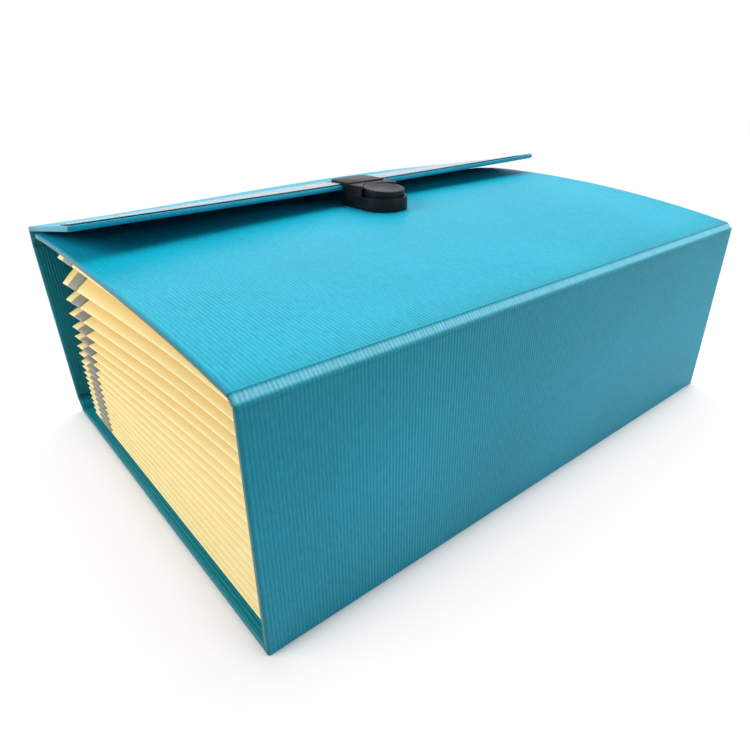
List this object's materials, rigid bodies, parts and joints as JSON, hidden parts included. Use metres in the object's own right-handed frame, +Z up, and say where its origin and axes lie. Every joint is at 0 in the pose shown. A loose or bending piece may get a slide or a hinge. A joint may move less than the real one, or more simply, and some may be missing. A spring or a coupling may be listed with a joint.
{
  "type": "expanding file folder",
  "caption": "Expanding file folder of ribbed board with pleated card pockets, a fold-over flap and a push-button clasp, lying closed.",
  "frame": {"origin": "under the middle of the closed file, on the table under the back cover", "axes": "+X along the file's length, to the right of someone who looks at the bottom spine; +Y from the bottom spine to the mouth of the pockets; +Z up from the table"},
  "size_m": [0.33, 0.2468, 0.1355],
  "materials": {
    "ribbed_board": "fine ribbed, satin",
    "cream_card": "matt card",
    "grey_tape": "woven tape",
    "index_card": "matt",
    "index_film": "clear film",
    "black_plastic": "satin moulded",
    "plated_steel": "plated"
  },
  "bodies": {
    "case": {"back_cover": "ribbed_board", "bottom_spine": "ribbed_board", "back_sheet": "cream_card", "bottom_gusset": "cream_card", "left_gusset": "cream_card", "right_gusset": "cream_card", "left_gusset_tape": "grey_tape", "right_gusset_tape": "grey_tape"},
    "front_crease": {"front_crease": "ribbed_board"},
    "front_cover": {"front_cover": "ribbed_board", "front_sheet": "cream_card", "strike_stud": "black_plastic"},
    "mouth_crease": {"mouth_crease": "ribbed_board"},
    "top_spine": {"top_spine": "ribbed_board"},
    "flap_crease": {"flap_crease": "ribbed_board"},
    "flap": {"closing_flap": "ribbed_board", "index_card": "index_card", "index_film": "index_film", "clasp_housing": "black_plastic", "catch_clip": "plated_steel", "clasp_under_plate": "plated_steel", "clasp_rivet_left": "plated_steel", "clasp_rivet_right": "plated_steel", "clasp_spring": "plated_steel"},
    "button": {"clasp_button": "black_plastic"},
    "divider_01": {"divider_01": "cream_card"},
    "divider_02": {"divider_02": "cream_card"},
    "divider_03": {"divider_03": "cream_card"},
    "divider_04": {"divider_04": "cream_card"},
    "divider_05": {"divider_05": "cream_card"},
    "divider_06": {"divider_06": "cream_card"},
    "divider_07": {"divider_07": "cream_card"},
    "divider_08": {"divider_08": "cream_card"},
    "divider_09": {"divider_09": "cream_card"},
    "divider_10": {"divider_10": "cream_card"},
    "divider_11": {"divider_11": "cream_card"},
    "divider_12": {"divider_12": "cream_card"},
    "divider_13": {"divider_13": "cream_card"},
    "divider_14": {"divider_14": "cream_card"},
    "divider_15": {"divider_15": "cream_card"},
    "divider_16": {"divider_16": "cream_card"},
    "divider_17": {"divider_17": "cream_card"},
    "divider_18": {"divider_18": "cream_card"}
  },
  "joints": [
    {"name": "flap_hinge", "type": "hinge", "parent": "flap_crease", "child": "flap", "pos_m": [0, 0.12091, 0.11396], "axis": [-1, 0, 0], "range_deg": [0, 63]},
    {"name": "flap_crease_hinge", "type": "hinge", "parent": "top_spine", "child": "flap_crease", "pos_m": [0, 0.12343, 0.10387], "axis": [-1, 0, 0], "range_deg": [0, 18.8]},
    {"name": "top_spine_hinge", "type": "hinge", "parent": "mouth_crease", "child": "top_spine", "pos_m": [0, 0.11192, 0.00735], "axis": [-1, 0, 0], "range_deg": [0, 36.2]},
    {"name": "mouth_crease_hinge", "type": "hinge", "parent": "case", "child": "mouth_crease", "pos_m": [0, 0.10457, 0], "axis": [-1, 0, 0], "range_deg": [0, 42]},
    {"name": "front_crease_hinge", "type": "hinge", "parent": "case", "child": "front_crease", "pos_m": [0, -0.12343, 0.1045], "axis": [1, 0, 0], "range_deg": [0, 8]},
    {"name": "front_cover_hinge", "type": "hinge", "parent": "front_crease", "child": "front_cover", "pos_m": [0, -0.11993, 0.108], "axis": [1, 0, 0], "range_deg": [0, 8], "deforming": ["left_gusset", "right_gusset", "left_gusset_tape", "right_gusset_tape"]},
    {"name": "divider_01_hinge", "type": "hinge", "parent": "case", "child": "divider_01", "pos_m": [0, -0.11556, 0.00864], "axis": [1, 0, 0], "range_deg": [0, 0.8421]},
    {"name": "divider_02_hinge", "type": "hinge", "parent": "case", "child": "divider_02", "pos_m": [0, -0.11556, 0.014], "axis": [1, 0, 0], "range_deg": [0, 1.68]},
    {"name": "divider_03_hinge", "type": "hinge", "parent": "case", "child": "divider_03", "pos_m": [0, -0.11556, 0.01937], "axis": [1, 0, 0], "range_deg": [0, 2.53]},
    {"name": "divider_04_hinge", "type": "hinge", "parent": "case", "child": "divider_04", "pos_m": [0, -0.11556, 0.02473], "axis": [1, 0, 0], "range_deg": [0, 3.37]},
    {"name": "divider_05_hinge", "type": "hinge", "parent": "case", "child": "divider_05", "pos_m": [0, -0.11556, 0.03009], "axis": [1, 0, 0], "range_deg": [0, 4.21]},
    {"name": "divider_06_hinge", "type": "hinge", "parent": "case", "child": "divider_06", "pos_m": [0, -0.11556, 0.03546], "axis": [1, 0, 0], "range_deg": [0, 5.05]},
    {"name": "divider_07_hinge", "type": "hinge", "parent": "case", "child": "divider_07", "pos_m": [0, -0.11556, 0.04083], "axis": [1, 0, 0], "range_deg": [0, 5.89]},
    {"name": "divider_08_hinge", "type": "hinge", "parent": "case", "child": "divider_08", "pos_m": [0, -0.11556, 0.04619], "axis": [1, 0, 0], "range_deg": [0, 6.74]},
    {"name": "divider_09_hinge", "type": "hinge", "parent": "case", "child": "divider_09", "pos_m": [0, -0.11556, 0.05156], "axis": [1, 0, 0], "range_deg": [0, 7.58]},
    {"name": "divider_10_hinge", "type": "hinge", "parent": "case", "child": "divider_10", "pos_m": [0, -0.11556, 0.05694], "axis": [1, 0, 0], "range_deg": [0, 8.42]},
    {"name": "divider_11_hinge", "type": "hinge", "parent": "case", "child": "divider_11", "pos_m": [0, -0.11556, 0.06231], "axis": [1, 0, 0], "range_deg": [0, 9.26]},
    {"name": "divider_12_hinge", "type": "hinge", "parent": "case", "child": "divider_12", "pos_m": [0, -0.11556, 0.06769], "axis": [1, 0, 0], "range_deg": [0, 10.11]},
    {"name": "divider_13_hinge", "type": "hinge", "parent": "case", "child": "divider_13", "pos_m": [0, -0.11556, 0.07308], "axis": [1, 0, 0], "range_deg": [0, 10.95]},
    {"name": "divider_14_hinge", "type": "hinge", "parent": "case", "child": "divider_14", "pos_m": [0, -0.11556, 0.07847], "axis": [1, 0, 0], "range_deg": [0, 11.79]},
    {"name": "divider_15_hinge", "type": "hinge", "parent": "case", "child": "divider_15", "pos_m": [0, -0.11556, 0.08387], "axis": [1, 0, 0], "range_deg": [0, 12.63]},
    {"name": "divider_16_hinge", "type": "hinge", "parent": "case", "child": "divider_16", "pos_m": [0, -0.11556, 0.08927], "axis": [1, 0, 0], "range_deg": [0, 13.47]},
    {"name": "divider_17_hinge", "type": "hinge", "parent": "case", "child": "divider_17", "pos_m": [0, -0.11556, 0.09468], "axis": [1, 0, 0], "range_deg": [0, 14.32]},
    {"name": "divider_18_hinge", "type": "hinge", "parent": "case", "child": "divider_18", "pos_m": [0, -0.11556, 0.1001], "axis": [1, 0, 0], "range_deg": [0, 15.16]},
    {"name": "button_press", "type": "slide", "parent": "flap", "child": "button", "axis": [0, 0, -1], "range_m": [0, 0.0015], "stiffness_N_per_m": 300, "springref_m": -0.003, "deforming": ["clasp_spring"]}
  ],
  "couplings": [
    {"joint": "flap_crease_hinge", "follows": "flap_hinge", "ratio": 0.29841},
    {"joint": "top_spine_hinge", "follows": "flap_hinge", "ratio": 0.5746},
    {"joint": "mouth_crease_hinge", "follows": "flap_hinge", "ratio": 0.66667},
    {"joint": "front_crease_hinge", "follows": "flap_hinge", "ratio": 0.12698},
    {"joint": "front_cover_hinge", "follows": "flap_hinge", "ratio": 0.12698},
    {"joint": "divider_01_hinge", "follows": "flap_hinge", "ratio": 0.013366},
    {"joint": "divider_02_hinge", "follows": "flap_hinge", "ratio": 0.026733},
    {"joint": "divider_03_hinge", "follows": "flap_hinge", "ratio": 0.0401},
    {"joint": "divider_04_hinge", "follows": "flap_hinge", "ratio": 0.053466},
    {"joint": "divider_05_hinge", "follows": "flap_hinge", "ratio": 0.066833},
    {"joint": "divider_06_hinge", "follows": "flap_hinge", "ratio": 0.0802},
    {"joint": "divider_07_hinge", "follows": "flap_hinge", "ratio": 0.093566},
    {"joint": "divider_08_hinge", "follows": "flap_hinge", "ratio": 0.10693},
    {"joint": "divider_09_hinge", "follows": "flap_hinge", "ratio": 0.1203},
    {"joint": "divider_10_hinge", "follows": "flap_hinge", "ratio": 0.13367},
    {"joint": "divider_11_hinge", "follows": "flap_hinge", "ratio": 0.14703},
    {"joint": "divider_12_hinge", "follows": "flap_hinge", "ratio": 0.1604},
    {"joint": "divider_13_hinge", "follows": "flap_hinge", "ratio": 0.17377},
    {"joint": "divider_14_hinge", "follows": "flap_hinge", "ratio": 0.18713},
    {"joint": "divider_15_hinge", "follows": "flap_hinge", "ratio": 0.2005},
    {"joint": "divider_16_hinge", "follows": "flap_hinge", "ratio": 0.21387},
    {"joint": "divider_17_hinge", "follows": "flap_hinge", "ratio": 0.22723},
    {"joint": "divider_18_hinge", "follows": "flap_hinge", "ratio": 0.2406}
  ]
}
